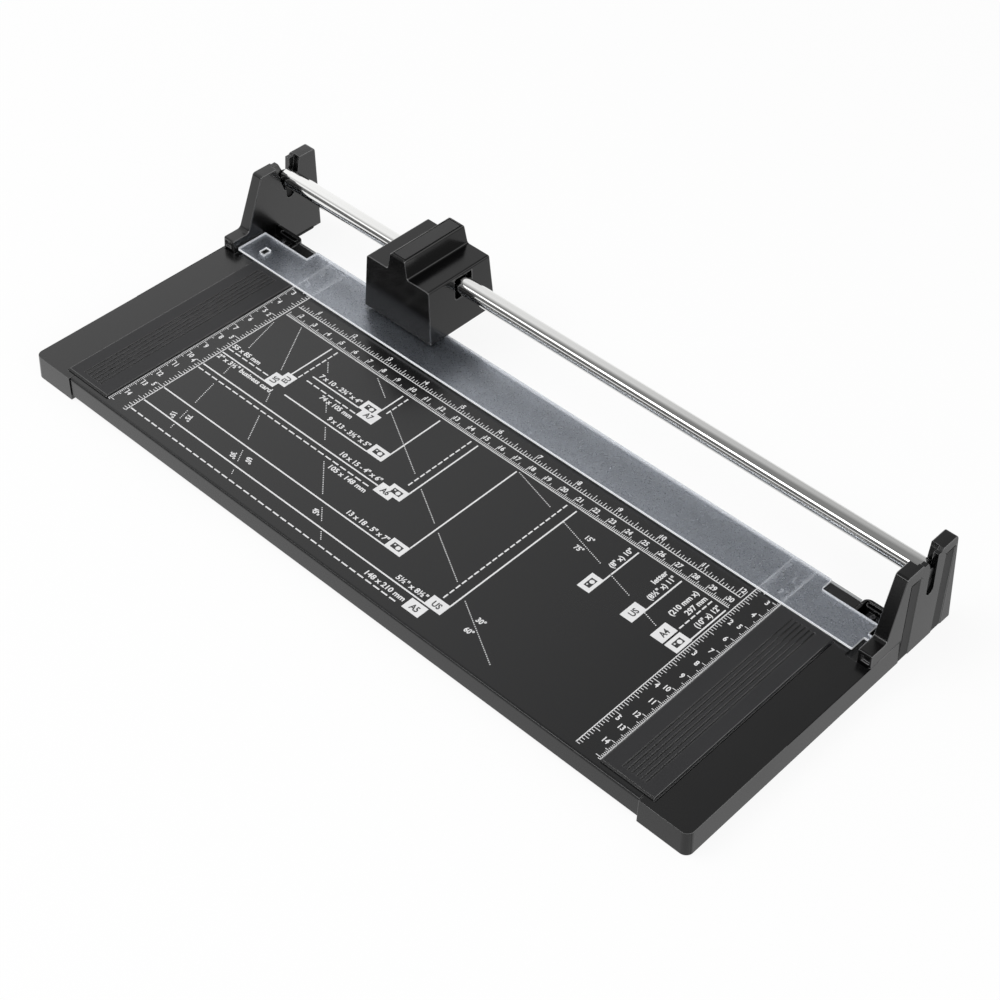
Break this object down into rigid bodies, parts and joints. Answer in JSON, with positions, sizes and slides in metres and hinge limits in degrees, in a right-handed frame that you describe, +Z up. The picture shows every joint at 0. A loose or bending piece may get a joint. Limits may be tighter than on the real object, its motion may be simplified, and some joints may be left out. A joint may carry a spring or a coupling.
{
  "type": "rolling paper trimmer",
  "caption": "Low A4 paper trimmer with a printed scale table, end caps with posts, a sprung steel rail, a sliding carriage with a round blade and a clear clamp strip.",
  "frame": {"origin": "On the floor, at the middle of the footprint.", "axes": "+X along the cutting edge toward the user's right, +Y away from the user, from the table toward the rail, +Z up."},
  "size_m": [0.424, 0.1887, 0.0608],
  "materials": {
    "painted_sheet": "matt charcoal paint with white print",
    "black_plastic": "finely textured black plastic",
    "grip_plastic": "matt dark plastic with fine grooves",
    "polished_steel": "ground and polished rail",
    "blade_steel": "ground tool steel",
    "zinc_screw": "zinc plated",
    "spring_steel": "rolled spring steel",
    "frosted_clear": "clear plastic with a fine matt face",
    "rubber": "black rubber",
    "pale_plastic": "natural acetal",
    "inlay_plastic": "soft matt plastic",
    "dark_acetal": "black acetal"
  },
  "bodies": {
    "base": {"table_sheet": "painted_sheet", "fixed_blade": "blade_steel", "fixed_blade_screws": "zinc_screw", "left_end_cap": "black_plastic", "right_end_cap": "black_plastic", "left_grip_plate": "grip_plastic", "right_grip_plate": "grip_plastic", "grip_plate_screws": "zinc_screw", "rubber_feet": "rubber", "left_rail_buffer": "rubber", "right_rail_buffer": "rubber", "left_clamp_spring": "spring_steel", "right_clamp_spring": "spring_steel", "clamp_spring_screws": "zinc_screw"},
    "rail": {"guide_rail": "polished_steel", "left_rail_plug": "black_plastic", "right_rail_plug": "black_plastic"},
    "clamp": {"clamp_strip": "frosted_clear"},
    "carriage": {"carriage_cover": "black_plastic", "handle_inlay": "inlay_plastic", "blade_carrier": "black_plastic", "left_glide_bush": "dark_acetal", "right_glide_bush": "dark_acetal", "carriage_screws": "zinc_screw", "blade_axle": "zinc_screw", "spring_washer": "spring_steel", "axle_nut": "zinc_screw"},
    "blade": {"round_blade": "blade_steel", "blade_hub": "pale_plastic"}
  },
  "joints": [
    {"name": "rail_press", "type": "slide", "parent": "base", "child": "rail", "axis": [0, 0, -1], "range_m": [0, 0.0009], "stiffness_N_per_m": 6000, "springref_m": -0.0015, "deforming": ["left_rail_buffer", "right_rail_buffer"]},
    {"name": "clamp_press", "type": "slide", "parent": "base", "child": "clamp", "axis": [0, 0, -1], "range_m": [0, 0.0005], "deforming": ["left_clamp_spring", "right_clamp_spring"]},
    {"name": "carriage_slide", "type": "slide", "parent": "rail", "child": "carriage", "axis": [1, 0, 0], "range_m": [-0.079, 0.273]},
    {"name": "blade_spin", "type": "hinge", "parent": "carriage", "child": "blade", "pos_m": [-0.097, 0.06185, 0.0279], "axis": [0, 1, 0], "range_deg": [-330, 1125]}
  ],
  "couplings": [
    {"joint": "blade_spin", "follows": "carriage_slide", "rad_per_m": 71.43},
    {"joint": "clamp_press", "follows": "rail_press", "ratio": 0.55}
  ]
}
